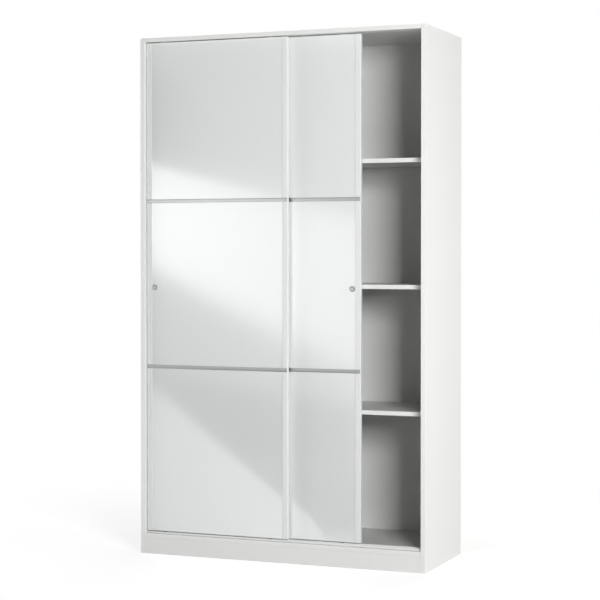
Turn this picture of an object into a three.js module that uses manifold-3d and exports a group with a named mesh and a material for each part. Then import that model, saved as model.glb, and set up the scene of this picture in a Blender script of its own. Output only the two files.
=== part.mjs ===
import * as THREE from 'three';
import { mergeVertices } from 'three/addons/utils/BufferGeometryUtils.js';
import Module from 'manifold-3d';

// Cabinet with two sliding doors and two shelved bays. Millimetres, X to the right, Y to the back,
// Z up. The origin is on the floor, in the middle of the width and the depth.

// Driving dimensions of the whole cabinet
const WIDTH = 1160;
const DEPTH = 450;
const HEIGHT = 2000;
const SIDE_BOARD = 18;
const BOARD = 16;
const JOINT_GAP = 0.3;
const CUT_OVERRUN = 5;

// Plinth
const PLINTH_HEIGHT = 63;
const PLINTH_SETBACK = 1;
const REAR_PLINTH_INSET = 40;

// Back panels and the strip that joins them
const BACK_PANEL = 3;
const BACK_INSET = 12;
const BACK_GROOVE_DEPTH = 6;
const STRIP_WALL = 1.2;
const STRIP_FLANGE = 24;

// Shelves, their pins and the bored holes
const SHELF_BOARD = 16;
const SHELF_COUNT = 3;
const SHELF_SETBACK = 62;
const FIRST_SHELF_UNDERSIDE = 567;
const SHELF_SPACING = 468;
const SHELF_END_GAP = 1.5;
const SHELF_REAR_GAP = 1;
const PIN_RADIUS = 2.5;
const PIN_SIDES = 8;
const PIN_SEAT = 0.2;
const PIN_REACH = 10;
const PIN_INSET = 37;
const HOLE_DEPTH = 7;
const HOLE_PITCH = 32;
const HOLES_EACH_WAY = 1;

// Doors: how they stand in the opening
const DOOR_RECESS = 14;
const DOOR_SPACING = 5;
const DOOR_OVERLAP = 64;
const DOOR_SIDE_GAP = 2;
const DOOR_TOP_GAP = 3;
const DOOR_BOTTOM_GAP = 10;
const RIGHT_DOOR_OPENED = 244;

// Doors: panels, edge profiles and bars
const PANEL_BOARD = 14;
const PROFILE_WALL = 1.7;
const STILE_FACE = 21;
const STILE_WEB = 4;
const STILE_ROUND = 3;
const STILE_ROUND_STEPS = 5;
const BAR_FACE = 14;
const BAR_WEB = 2;
const LOWER_BAR_HEIGHT = 728;
const UPPER_BAR_HEIGHT = 1369;

// Finger pull
const PULL_INSET = 34;
const PULL_RADIUS = 9.5;
const PULL_WALL = 1.2;
const PULL_DEPTH = 10;
const PULL_FLANGE_RADIUS = 12;
const PULL_FLANGE = 0.8;
const PULL_EDGE_ROUND = 0.8;
const PULL_SIDES = 32;

// Roller carriages, wheels and axles
const CARRIAGE_INSET = 75;
const CHEEK = 1.8;
const CARRIAGE_WALL = 2.5;
const WHEEL_RADIUS = 11;
const WHEEL_GROOVE_RADIUS = 9;
const WHEEL_THICKNESS = 5.6;
const WHEEL_RIM_INNER_RADIUS = 7.4;
const WHEEL_HUB_RADIUS = 4.6;
const WHEEL_DISH = 1;
const WHEEL_GROOVE_FLOOR = 2.8;
const WHEEL_LIP = 0.5;
const WHEEL_SIDE_GAP = 0.5;
const WHEEL_ROUND_GAP = 1.5;
const WHEEL_SIDES = 20;
const AXLE_RADIUS = 2;
const AXLE_HEAD_RADIUS = 3.4;
const AXLE_HEAD = 0.8;
const AXLE_SIDES = 12;
const PLATE = 1.2;
const PLATE_LENGTH = 56;
const PLATE_ROUND = 3;
const PLATE_SCREW_RADIUS = 1.8;
const PLATE_SCREW_EDGE = 6;
const ARCH_STEPS = 12;

// Top guides and the channels they run in
const GUIDE_RADIUS = 13;
const GUIDE_CENTRE_DEPTH = 4;
const TONGUE_LENGTH = 24;
const TONGUE = 5;
const TONGUE_ENGAGED = 4;
const TONGUE_SIDE_GAP = 0.6;
const TONGUE_STEPS = 6;
const CHANNEL_WALL = 1.2;
const CHANNEL_DEPTH = 9;

// Bottom track
const TRACK_BASE = 2;
const TRACK_RIB = 2.4;
const TRACK_RIB_HEIGHT = 4;
const TRACK_LIP = 1.6;
const TRACK_EDGE_CHAMFER = 0.5;
const TRACK_BORDER = 2;

// Places that follow from the sizes above
const FRONT = -DEPTH / 2;
const REAR = DEPTH / 2;
const INNER_HALF = WIDTH / 2 - SIDE_BOARD;
const FLOOR_TOP = PLINTH_HEIGHT + BOARD;
const CEILING = HEIGHT - BOARD;
const PARTITION_HALF = BOARD / 2;

const BACK_SLOT = BACK_PANEL + 2 * JOINT_GAP;
const BACK_SLOT_REAR = REAR - BACK_INSET;
const BACK_SLOT_FRONT = BACK_SLOT_REAR - BACK_SLOT;
const STRIP_FRONT = BACK_SLOT_FRONT - STRIP_WALL;

const SHELF_FRONT = FRONT + SHELF_SETBACK;
const SHELF_REAR = STRIP_FRONT - SHELF_REAR_GAP;
const PIN_FLAT = PIN_RADIUS * Math.cos(Math.PI / PIN_SIDES);
const PIN_ROWS = [SHELF_FRONT + PIN_INSET, SHELF_REAR - PIN_INSET];
const SHELF_UNDERSIDES = Array.from(
  { length: SHELF_COUNT },
  (_, level) => FIRST_SHELF_UNDERSIDE + level * SHELF_SPACING,
);

const DOOR_DEPTH = PANEL_BOARD + 2 * (PROFILE_WALL + JOINT_GAP);
const DOOR_PITCH = DOOR_DEPTH + DOOR_SPACING;
const DOOR_WIDTH = INNER_HALF - DOOR_SIDE_GAP + DOOR_OVERLAP / 2;
const DOOR_BOTTOM = FLOOR_TOP + DOOR_BOTTOM_GAP;
const DOOR_HEIGHT = CEILING - DOOR_TOP_GAP - DOOR_BOTTOM;
const PANEL_FRONT = PROFILE_WALL + JOINT_GAP;
const PANEL_REAR = PANEL_FRONT + PANEL_BOARD;
const PULL_FACE = PANEL_FRONT - JOINT_GAP - PULL_FLANGE;

const CARRIAGE_BODY = WHEEL_THICKNESS + 2 * (WHEEL_SIDE_GAP + CHEEK);
const POCKET_FRONT = PANEL_REAR - CARRIAGE_BODY - JOINT_GAP;
const CARRIAGE_FRONT = PANEL_REAR - CARRIAGE_BODY;
const PLATE_FRONT = PANEL_REAR + JOINT_GAP;
const PLATE_REAR = PLATE_FRONT + PLATE;
const WHEEL_PLACE = CARRIAGE_FRONT + CHEEK + WHEEL_SIDE_GAP + WHEEL_THICKNESS / 2;
const RIB_TOP = FLOOR_TOP + JOINT_GAP + TRACK_BASE + TRACK_RIB_HEIGHT;
const WHEEL_HEIGHT = RIB_TOP + JOINT_GAP + WHEEL_GROOVE_RADIUS - DOOR_BOTTOM;
const WHEEL_SPACE = WHEEL_RADIUS + WHEEL_ROUND_GAP;
const CARRIAGE_RADIUS = WHEEL_SPACE + CARRIAGE_WALL;

const CHANNEL_OUTER = TONGUE + 2 * (TONGUE_SIDE_GAP + CHANNEL_WALL);
const TRACK_PLACES = [0, 1].map((track) => FRONT + DOOR_RECESS + track * DOOR_PITCH);

const wasm = await Module();
wasm.setup();

const group = new THREE.Group();

// Finishes

function look(color, roughness, metalness = 0) {
  return new THREE.MeshStandardMaterial({ color, roughness, metalness });
}

const whiteBoard = () => look(0xf1f1ec, 0.5);
const whiteBack = () => look(0xe9e9e4, 0.6);
const glossPanel = () => look(0xeaedec, 0.08);
const satinProfile = () => look(0xe6e8e8, 0.35);
const satinMetal = () => look(0xb8babb, 0.35, 0.9);
const whitePlastic = () => look(0xe4e5e3, 0.4);
const darkPlastic = () => look(0x4b4d4f, 0.45);
const brightSteel = () => look(0xb4b6b8, 0.3, 1);

// Solids

function solidOf(geometry) {
  geometry.deleteAttribute('normal');
  geometry.deleteAttribute('uv');
  const merged = mergeVertices(geometry);
  const corners = merged.index.array;
  const kept = [];
  for (let first = 0; first < corners.length; first += 3) {
    const [a, b, c] = corners.slice(first, first + 3);
    if (a !== b && b !== c && c !== a) {
      kept.push(a, b, c);
    }
  }
  return new wasm.Manifold(new wasm.Mesh({
    numProp: 3,
    vertProperties: new Float32Array(merged.attributes.position.array),
    triVerts: new Uint32Array(kept),
  }));
}

function geometryOf(solid) {
  const faces = solid.getMesh();
  const geometry = new THREE.BufferGeometry();
  geometry.setAttribute('position', new THREE.BufferAttribute(faces.vertProperties, 3));
  geometry.setIndex(new THREE.BufferAttribute(faces.triVerts, 1));
  geometry.computeVertexNormals();
  return geometry;
}

function joinAll(geometry, additions) {
  return additions.reduce((solid, addition) => solid.add(solidOf(addition)), solidOf(geometry));
}

function cutAll(solid, cutters) {
  return cutters.reduce((left, cutter) => left.subtract(solidOf(cutter)), solid);
}

function outlineOf(points) {
  return new THREE.Shape(points.map(([across, up]) => new THREE.Vector2(across, up)));
}

// An outline is drawn in the plane of the other two axes, in turn: Y and Z for a sweep along X,
// Z and X for one along Y, X and Y for one along Z.
function sweep(outline, axis, length, curveSegments = 1) {
  const axes = [new THREE.Vector3(1, 0, 0), new THREE.Vector3(0, 1, 0), new THREE.Vector3(0, 0, 1)];
  const along = ['x', 'y', 'z'].indexOf(axis);
  const turn = new THREE.Matrix4().makeBasis(axes[(along + 1) % 3], axes[(along + 2) % 3], axes[along]);
  const settings = { depth: length, bevelEnabled: false, curveSegments };
  return new THREE.ExtrudeGeometry(outline, settings).applyMatrix4(turn);
}

// A turned piece about the Y axis, from a profile of radii and places along the axis.
function turned(profile, sides) {
  return new THREE.LatheGeometry(profile.map(([radius, y]) => new THREE.Vector2(radius, y)), sides);
}

function box([x0, x1], [y0, y1], [z0, z1]) {
  const geometry = new THREE.BoxGeometry(x1 - x0, y1 - y0, z1 - z0);
  return geometry.translate((x0 + x1) / 2, (y0 + y1) / 2, (z0 + z1) / 2);
}

function addMesh(parent, name, geometry, material, place = [0, 0, 0]) {
  const mesh = new THREE.Mesh(geometry, material);
  mesh.name = name;
  mesh.position.set(...place);
  parent.add(mesh);
}

function addBoard(parent, name, material, [x0, x1], [y0, y1], [z0, z1]) {
  const geometry = new THREE.BoxGeometry(x1 - x0, y1 - y0, z1 - z0);
  addMesh(parent, name, geometry, material, [(x0 + x1) / 2, (y0 + y1) / 2, (z0 + z1) / 2]);
}

// Points of a board's section whose face lies on one line and is cut by grooves.
function groovedSection(start, end, face, opposite, grooves) {
  const inward = Math.sign(opposite - face);
  const points = [[start, face]];
  for (const { from, to, depth } of grooves) {
    points.push([from, face], [from, face + inward * depth]);
    points.push([to, face + inward * depth], [to, face]);
  }
  points.push([end, face], [end, opposite], [start, opposite]);
  return points;
}

const backGroove = { from: BACK_SLOT_FRONT, to: BACK_SLOT_REAR, depth: BACK_GROOVE_DEPTH };

// Shelf pins, and the holes bored for them

function rodAlongX(radius, [x0, x1], y, z) {
  const rod = new THREE.CylinderGeometry(radius, radius, x1 - x0, PIN_SIDES);
  return rod.rotateY(Math.PI / PIN_SIDES).rotateZ(Math.PI / 2).translate((x0 + x1) / 2, y, z);
}

function pinHeight(underside) {
  return underside + PIN_SEAT - PIN_FLAT;
}

function boredHoles(face, intoBoard) {
  const ends = [face - intoBoard * CUT_OVERRUN, face + intoBoard * HOLE_DEPTH].sort((a, b) => a - b);
  const holes = [];
  for (const underside of SHELF_UNDERSIDES) {
    for (const row of PIN_ROWS) {
      for (let step = -HOLES_EACH_WAY; step <= HOLES_EACH_WAY; step += 1) {
        const height = pinHeight(underside) + step * HOLE_PITCH;
        holes.push(rodAlongX(PIN_RADIUS + JOINT_GAP, ends, row, height));
      }
    }
  }
  return holes;
}

// Carcass

function addSide(name, hand) {
  const inner = hand * INNER_HALF;
  const outer = hand * WIDTH / 2;
  const section = groovedSection(FRONT, REAR, inner, outer, [backGroove]);
  const outline = outlineOf(section.map(([y, x]) => [x, y]));
  const blank = solidOf(sweep(outline, 'z', HEIGHT));
  addMesh(group, name, geometryOf(cutAll(blank, boredHoles(inner, hand))), whiteBoard());
}

function addBoardAcross(name, face, opposite, grooves) {
  const length = 2 * (INNER_HALF - JOINT_GAP);
  const outline = outlineOf(groovedSection(FRONT, REAR, face, opposite, grooves));
  addMesh(group, name, sweep(outline, 'x', length), whiteBoard(), [-length / 2, 0, 0]);
}

function addPartition() {
  const blank = solidOf(box(
    [-PARTITION_HALF, PARTITION_HALF],
    [SHELF_FRONT, STRIP_FRONT - JOINT_GAP],
    [FLOOR_TOP + JOINT_GAP, CEILING - JOINT_GAP],
  ));
  const holes = [-1, 1].flatMap((hand) => boredHoles(hand * PARTITION_HALF, -hand));
  addMesh(group, 'partition', geometryOf(cutAll(blank, holes)), whiteBoard());
}

function addPlinths() {
  const across = [JOINT_GAP - INNER_HALF, INNER_HALF - JOINT_GAP];
  const high = [0, PLINTH_HEIGHT - JOINT_GAP];
  const frontFace = FRONT + PLINTH_SETBACK;
  const rearFace = REAR - REAR_PLINTH_INSET;
  addBoard(group, 'front_plinth', whiteBoard(), across, [frontFace, frontFace + BOARD], high);
  addBoard(group, 'rear_plinth', whiteBoard(), across, [rearFace - BOARD, rearFace], high);
}

function addBack() {
  const deep = [BACK_SLOT_FRONT + JOINT_GAP, BACK_SLOT_REAR - JOINT_GAP];
  const intoGroove = BACK_GROOVE_DEPTH - JOINT_GAP;
  const high = [FLOOR_TOP - intoGroove, CEILING + intoGroove];
  const near = STRIP_WALL / 2 + JOINT_GAP;
  const far = INNER_HALF + intoGroove;
  addBoard(group, 'back_panel_left', whiteBack(), [-far, -near], deep, high);
  addBoard(group, 'back_panel_right', whiteBack(), [near, far], deep, high);

  const web = STRIP_WALL / 2;
  const wing = STRIP_FLANGE / 2;
  const stripRear = BACK_SLOT_REAR + STRIP_WALL;
  const halfOutline = [
    [wing, STRIP_FRONT], [wing, BACK_SLOT_FRONT], [web, BACK_SLOT_FRONT],
    [web, BACK_SLOT_REAR], [wing, BACK_SLOT_REAR], [wing, stripRear],
  ];
  const otherHalf = halfOutline.map(([x, y]) => [-x, y]).reverse();
  const outline = outlineOf([...halfOutline, ...otherHalf]);
  const strip = sweep(outline, 'z', CEILING - FLOOR_TOP - 2 * JOINT_GAP);
  addMesh(group, 'back_joint_strip', strip, whitePlastic(), [0, 0, FLOOR_TOP + JOINT_GAP]);
}

function addShelf(name, hand, underside) {
  const near = hand * PARTITION_HALF;
  const far = hand * INNER_HALF;
  const across = [near + hand * SHELF_END_GAP, far - hand * SHELF_END_GAP].sort((a, b) => a - b);
  const plank = box(across, [SHELF_FRONT, SHELF_REAR], [underside, underside + SHELF_BOARD]);
  const inHole = HOLE_DEPTH - JOINT_GAP;
  const pins = [[near, hand], [far, -hand]].flatMap(([face, intoBay]) => {
    const ends = [face - intoBay * inHole, face + intoBay * PIN_REACH].sort((a, b) => a - b);
    return PIN_ROWS.map((row) => rodAlongX(PIN_RADIUS, ends, row, pinHeight(underside)));
  });
  addMesh(group, name, geometryOf(joinAll(plank, pins)), whiteBoard());
}

// Track and channels that the doors run in

function addBottomTrack() {
  const first = TRACK_PLACES[0];
  const last = TRACK_PLACES[1] + DOOR_DEPTH + TRACK_BORDER;
  const low = FLOOR_TOP + JOINT_GAP;
  const middle = (first + last - TRACK_LIP) / 2;
  const ribs = TRACK_PLACES.map((place) => [place + WHEEL_PLACE - TRACK_RIB / 2, TRACK_RIB]);
  const lips = [first, middle, last - TRACK_LIP].map((place) => [place, TRACK_LIP]);
  const points = [[first, low], [last, low]];
  const raised = [...ribs, ...lips].sort(([a], [b]) => b - a);
  for (const [from, thick] of raised) {
    points.push([from + thick, low + TRACK_BASE], [from + thick, RIB_TOP - TRACK_EDGE_CHAMFER]);
    points.push([from + thick - TRACK_EDGE_CHAMFER, RIB_TOP], [from + TRACK_EDGE_CHAMFER, RIB_TOP]);
    points.push([from, RIB_TOP - TRACK_EDGE_CHAMFER], [from, low + TRACK_BASE]);
  }
  const length = 2 * (INNER_HALF - JOINT_GAP);
  addMesh(group, 'bottom_track', sweep(outlineOf(points), 'x', length), whitePlastic(), [-length / 2, 0, 0]);
}

function channelGroove(place) {
  const centre = place + WHEEL_PLACE;
  const half = CHANNEL_OUTER / 2 + JOINT_GAP;
  return { from: centre - half, to: centre + half, depth: CHANNEL_DEPTH + JOINT_GAP };
}

function addGuideChannel(name, place) {
  const centre = place + WHEEL_PLACE;
  const outer = CHANNEL_OUTER / 2;
  const slot = { from: centre + CHANNEL_WALL - outer, to: centre + outer - CHANNEL_WALL };
  slot.depth = CHANNEL_DEPTH - CHANNEL_WALL;
  const section = groovedSection(centre - outer, centre + outer, CEILING, CEILING + CHANNEL_DEPTH, [slot]);
  const length = 2 * (INNER_HALF - JOINT_GAP);
  addMesh(group, name, sweep(outlineOf(section), 'x', length), whitePlastic(), [-length / 2, 0, 0]);
}

// Doors. Each door group has its origin at the lower front corner of the door's left edge.

// The notches in a stile's two cheeks, which the faces of a bar run through.
function barNotches(toward, height) {
  const outer = toward * (STILE_ROUND - JOINT_GAP);
  const inner = toward * (STILE_FACE + CUT_OVERRUN);
  const across = [outer, inner].sort((a, b) => a - b);
  const half = BAR_FACE / 2 + JOINT_GAP;
  const high = [height - half, height + half];
  return [
    box(across, [-CUT_OVERRUN, PANEL_FRONT], high),
    box(across, [PANEL_REAR, DOOR_DEPTH + CUT_OVERRUN], high),
  ];
}

function addStile(door, name, edge, toward, barHeights) {
  const outline = new THREE.Shape();
  outline.moveTo(toward * STILE_FACE, 0);
  outline.lineTo(toward * STILE_ROUND, 0);
  outline.quadraticCurveTo(0, 0, 0, STILE_ROUND);
  outline.lineTo(0, DOOR_DEPTH - STILE_ROUND);
  outline.quadraticCurveTo(0, DOOR_DEPTH, toward * STILE_ROUND, DOOR_DEPTH);
  outline.lineTo(toward * STILE_FACE, DOOR_DEPTH);
  outline.lineTo(toward * STILE_FACE, DOOR_DEPTH - PROFILE_WALL);
  outline.lineTo(toward * STILE_WEB, DOOR_DEPTH - PROFILE_WALL);
  outline.lineTo(toward * STILE_WEB, PROFILE_WALL);
  outline.lineTo(toward * STILE_FACE, PROFILE_WALL);
  outline.closePath();
  const profile = solidOf(sweep(outline, 'z', DOOR_HEIGHT, STILE_ROUND_STEPS));
  const notches = barHeights.flatMap((height) => barNotches(toward, height));
  addMesh(door, name, geometryOf(cutAll(profile, notches)), satinProfile(), [edge, 0, 0]);
}

// The bar's two faces run over the stiles. Its web stops short of them, between the cheeks.
function addBar(door, name, height) {
  const half = BAR_FACE / 2;
  const web = BAR_WEB / 2;
  const frontHalf = [
    [PROFILE_WALL, -web], [PROFILE_WALL, -half], [0, -half],
    [0, half], [PROFILE_WALL, half], [PROFILE_WALL, web],
  ];
  const rearHalf = frontHalf.map(([y, z]) => [DOOR_DEPTH - y, z]).reverse();
  const bar = sweep(outlineOf([...frontHalf, ...rearHalf]), 'x', DOOR_WIDTH - 2 * STILE_ROUND);
  bar.translate(STILE_ROUND, 0, 0);
  const webEnd = STILE_WEB + JOINT_GAP;
  const deep = [PROFILE_WALL, DOOR_DEPTH - PROFILE_WALL];
  const clearings = [
    box([0, webEnd], deep, [-half, half]),
    box([DOOR_WIDTH - webEnd, DOOR_WIDTH], deep, [-half, half]),
  ];
  addMesh(door, name, geometryOf(cutAll(solidOf(bar), clearings)), satinMetal(), [0, 0, height]);
}

// A slot with one round end, open at the door's edge: the lower edge when toward is 1, the upper
// edge when it is -1.
function archOutline(edge, toward, centreDepth, radius, overrun) {
  const centre = edge + toward * centreDepth;
  const open = edge - toward * overrun;
  const outline = new THREE.Shape();
  outline.moveTo(open, -radius);
  outline.lineTo(centre, -radius);
  outline.absarc(centre, 0, radius, -Math.PI / 2, Math.PI / 2, toward < 0);
  outline.lineTo(open, radius);
  outline.closePath();
  return outline;
}

function fittingPocket(edge, toward, centreDepth, radius) {
  const outline = archOutline(edge, toward, centreDepth, radius + JOINT_GAP, CUT_OVERRUN);
  const depth = PANEL_REAR - POCKET_FRONT + CUT_OVERRUN;
  return sweep(outline, 'y', depth, ARCH_STEPS).translate(0, POCKET_FRONT, 0);
}

// The fixing plate behind a carriage or a top guide, with its two screw holes.
function fittingPlate(edge, toward, tall) {
  const half = PLATE_LENGTH / 2;
  const far = edge + toward * tall;
  const near = edge;
  const turn = far - toward * PLATE_ROUND;
  const outline = new THREE.Shape();
  outline.moveTo(near, -half);
  outline.lineTo(turn, -half);
  outline.quadraticCurveTo(far, -half, far, PLATE_ROUND - half);
  outline.lineTo(far, half - PLATE_ROUND);
  outline.quadraticCurveTo(far, half, turn, half);
  outline.lineTo(near, half);
  outline.closePath();
  for (const side of [-1, 1]) {
    const hole = new THREE.Path();
    hole.absarc((near + far) / 2, side * (half - PLATE_SCREW_EDGE), PLATE_SCREW_RADIUS, 0, 2 * Math.PI);
    outline.holes.push(hole);
  }
  return sweep(outline, 'y', PLATE, ARCH_STEPS / 2).translate(0, PLATE_FRONT, 0);
}

function addCarriage(door, name, place) {
  const arch = archOutline(0, 1, WHEEL_HEIGHT, CARRIAGE_RADIUS, 0);
  const body = sweep(arch, 'y', PLATE_REAR - CARRIAGE_FRONT, ARCH_STEPS).translate(0, CARRIAGE_FRONT, 0);
  const plate = fittingPlate(0, 1, WHEEL_HEIGHT + CARRIAGE_RADIUS);
  const space = archOutline(0, 1, WHEEL_HEIGHT, WHEEL_SPACE, CUT_OVERRUN);
  const slotDepth = WHEEL_THICKNESS + 2 * WHEEL_SIDE_GAP;
  const slot = sweep(space, 'y', slotDepth, ARCH_STEPS).translate(0, CARRIAGE_FRONT + CHEEK, 0);
  const boreRadius = AXLE_RADIUS + JOINT_GAP;
  const boreLength = PLATE_REAR - CARRIAGE_FRONT + 2 * CUT_OVERRUN;
  const bore = new THREE.CylinderGeometry(boreRadius, boreRadius, boreLength, AXLE_SIDES);
  bore.translate(0, (CARRIAGE_FRONT + PLATE_REAR) / 2, WHEEL_HEIGHT);
  const carriage = cutAll(joinAll(body, [plate]), [slot, bore]);
  addMesh(door, name, geometryOf(carriage), whitePlastic(), [place, 0, 0]);
}

function addWheel(door, name, place) {
  const half = WHEEL_THICKNESS / 2;
  const dish = half - WHEEL_DISH;
  const rim = WHEEL_RIM_INNER_RADIUS;
  const grooveHalf = WHEEL_GROOVE_FLOOR / 2;
  const lipInner = half - WHEEL_LIP;
  const bore = AXLE_RADIUS + JOINT_GAP;
  const lowerHalf = [
    [bore, -half], [WHEEL_HUB_RADIUS, -half], [WHEEL_HUB_RADIUS, -dish], [rim, -dish],
    [rim, -half], [WHEEL_RADIUS, -half], [WHEEL_RADIUS, -lipInner], [WHEEL_GROOVE_RADIUS, -grooveHalf],
  ];
  const upperHalf = lowerHalf.map(([radius, y]) => [radius, -y]).reverse();
  const wheel = turned([...lowerHalf, ...upperHalf, lowerHalf[0]], WHEEL_SIDES);
  addMesh(door, name, wheel, darkPlastic(), [place, WHEEL_PLACE, WHEEL_HEIGHT]);
}

function addAxle(door, name, place) {
  const headFront = PLATE_REAR + JOINT_GAP;
  const profile = [
    [0, CARRIAGE_FRONT], [AXLE_RADIUS, CARRIAGE_FRONT], [AXLE_RADIUS, headFront],
    [AXLE_HEAD_RADIUS, headFront], [AXLE_HEAD_RADIUS, headFront + AXLE_HEAD], [0, headFront + AXLE_HEAD],
  ];
  addMesh(door, name, turned(profile, AXLE_SIDES), brightSteel(), [place, 0, WHEEL_HEIGHT]);
}

function addTopGuide(door, name, place) {
  const arch = archOutline(DOOR_HEIGHT, -1, GUIDE_CENTRE_DEPTH, GUIDE_RADIUS, 0);
  const body = sweep(arch, 'y', PLATE_REAR - CARRIAGE_FRONT, ARCH_STEPS).translate(0, CARRIAGE_FRONT, 0);
  const plate = fittingPlate(DOOR_HEIGHT, -1, GUIDE_CENTRE_DEPTH + GUIDE_RADIUS);
  const straight = (TONGUE_LENGTH - TONGUE) / 2;
  const outline = new THREE.Shape();
  outline.absarc(straight, WHEEL_PLACE, TONGUE / 2, -Math.PI / 2, Math.PI / 2);
  outline.absarc(-straight, WHEEL_PLACE, TONGUE / 2, Math.PI / 2, 1.5 * Math.PI);
  outline.closePath();
  const above = DOOR_TOP_GAP + TONGUE_ENGAGED;
  const tongue = sweep(outline, 'z', GUIDE_CENTRE_DEPTH + above, TONGUE_STEPS);
  tongue.translate(0, 0, DOOR_HEIGHT - GUIDE_CENTRE_DEPTH);
  addMesh(door, name, geometryOf(joinAll(body, [plate, tongue])), whitePlastic(), [place, 0, 0]);
}

function addFingerPull(door, name, place, height) {
  const face = PULL_FACE;
  const back = PANEL_FRONT - JOINT_GAP;
  const floor = face + PULL_DEPTH;
  const profile = [
    [0, floor], [PULL_RADIUS - PULL_EDGE_ROUND, floor], [PULL_RADIUS, floor - PULL_EDGE_ROUND],
    [PULL_RADIUS, face + PULL_EDGE_ROUND / 2], [PULL_RADIUS + PULL_EDGE_ROUND, face],
    [PULL_FLANGE_RADIUS - PULL_EDGE_ROUND / 2, face], [PULL_FLANGE_RADIUS, face + PULL_EDGE_ROUND / 2],
    [PULL_FLANGE_RADIUS, back], [PULL_RADIUS + PULL_WALL, back],
    [PULL_RADIUS + PULL_WALL, floor + PULL_WALL], [0, floor + PULL_WALL],
  ];
  addMesh(door, name, turned(profile, PULL_SIDES), satinMetal(), [place, 0, height]);
}

function pullBore(place, height) {
  const radius = PULL_RADIUS + PULL_WALL + JOINT_GAP;
  const end = PULL_FACE + PULL_DEPTH + PULL_WALL + JOINT_GAP;
  const length = end - PANEL_FRONT + CUT_OVERRUN;
  const bore = new THREE.CylinderGeometry(radius, radius, length, PULL_SIDES);
  return bore.translate(place, end - length / 2, height);
}

function addPanel(door, name, [low, high], cutters) {
  const edge = STILE_WEB + JOINT_GAP;
  const blank = box([edge, DOOR_WIDTH - edge], [PANEL_FRONT, PANEL_REAR], [low, high]);
  const geometry = cutters.length ? geometryOf(cutAll(solidOf(blank), cutters)) : blank;
  addMesh(door, name, geometry, glossPanel());
}

function addDoor(side, left, depth, pullPlace) {
  const door = new THREE.Group();
  door.position.set(left, depth, DOOR_BOTTOM);
  group.add(door);

  const name = (piece) => `${side}_door_${piece}`;
  const lowerBar = LOWER_BAR_HEIGHT - DOOR_BOTTOM;
  const upperBar = UPPER_BAR_HEIGHT - DOOR_BOTTOM;
  const besideBar = BAR_WEB / 2 + JOINT_GAP;
  const pullHeight = DOOR_HEIGHT / 2;
  const fittings = { left: CARRIAGE_INSET, right: DOOR_WIDTH - CARRIAGE_INSET };
  const places = Object.values(fittings);

  addStile(door, name('left_stile'), 0, 1, [lowerBar, upperBar]);
  addStile(door, name('right_stile'), DOOR_WIDTH, -1, [lowerBar, upperBar]);
  addBar(door, name('lower_bar'), lowerBar);
  addBar(door, name('upper_bar'), upperBar);

  const wheelPockets = places.map((place) => (
    fittingPocket(0, 1, WHEEL_HEIGHT, CARRIAGE_RADIUS).translate(place, 0, 0)
  ));
  const guidePockets = places.map((place) => (
    fittingPocket(DOOR_HEIGHT, -1, GUIDE_CENTRE_DEPTH, GUIDE_RADIUS).translate(place, 0, 0)
  ));
  const bore = pullBore(pullPlace, pullHeight);
  addPanel(door, name('bottom_panel'), [0, lowerBar - besideBar], wheelPockets);
  addPanel(door, name('middle_panel'), [lowerBar + besideBar, upperBar - besideBar], [bore]);
  addPanel(door, name('top_panel'), [upperBar + besideBar, DOOR_HEIGHT], guidePockets);
  addFingerPull(door, name('finger_pull'), pullPlace, pullHeight);

  for (const [end, place] of Object.entries(fittings)) {
    addCarriage(door, name(`${end}_carriage`), place);
    addWheel(door, name(`${end}_wheel`), place);
    addAxle(door, name(`${end}_axle`), place);
    addTopGuide(door, name(`${end}_top_guide`), place);
  }
}

addSide('left_side', -1);
addSide('right_side', 1);
addBoardAcross('bottom_board', FLOOR_TOP, PLINTH_HEIGHT, [backGroove]);
addBoardAcross('top_board', CEILING, HEIGHT, [...TRACK_PLACES.map(channelGroove), backGroove]);
addPartition();
addPlinths();
addBack();

const levelNames = ['lower', 'middle', 'upper'];
SHELF_UNDERSIDES.forEach((underside, level) => {
  addShelf(`left_${levelNames[level]}_shelf`, -1, underside);
  addShelf(`right_${levelNames[level]}_shelf`, 1, underside);
});

addBottomTrack();
addGuideChannel('front_guide_channel', TRACK_PLACES[0]);
addGuideChannel('rear_guide_channel', TRACK_PLACES[1]);

// The left door runs on the front track and stands closed. The right door runs on the rear track
// and stands partly opened, behind the left door.
const leftDoorLeft = DOOR_SIDE_GAP - INNER_HALF;
const rightDoorLeft = INNER_HALF - DOOR_SIDE_GAP - DOOR_WIDTH - RIGHT_DOOR_OPENED;
addDoor('left', leftDoorLeft, TRACK_PLACES[0], PULL_INSET);
addDoor('right', rightDoorLeft, TRACK_PLACES[1], DOOR_WIDTH - PULL_INSET);

export default group;
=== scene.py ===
import math

import bmesh
import bpy
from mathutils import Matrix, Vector


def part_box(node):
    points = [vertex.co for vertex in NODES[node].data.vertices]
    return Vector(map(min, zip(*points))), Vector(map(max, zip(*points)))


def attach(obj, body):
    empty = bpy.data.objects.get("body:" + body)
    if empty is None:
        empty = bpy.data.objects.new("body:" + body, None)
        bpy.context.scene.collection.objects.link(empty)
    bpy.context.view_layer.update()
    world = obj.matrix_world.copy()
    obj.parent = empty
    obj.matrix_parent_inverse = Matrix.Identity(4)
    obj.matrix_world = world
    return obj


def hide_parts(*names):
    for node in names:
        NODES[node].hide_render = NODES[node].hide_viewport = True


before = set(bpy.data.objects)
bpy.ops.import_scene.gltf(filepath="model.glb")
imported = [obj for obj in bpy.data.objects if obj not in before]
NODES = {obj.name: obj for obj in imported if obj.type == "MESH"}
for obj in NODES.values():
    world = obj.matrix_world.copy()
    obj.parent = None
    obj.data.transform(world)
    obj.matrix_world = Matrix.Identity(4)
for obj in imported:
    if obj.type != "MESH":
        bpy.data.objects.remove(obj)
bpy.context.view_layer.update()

# Sliding door cabinet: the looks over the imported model. Metres, X to the right, Y to the back, Z up.

MM = 0.001
SCENE = bpy.context.scene

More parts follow.
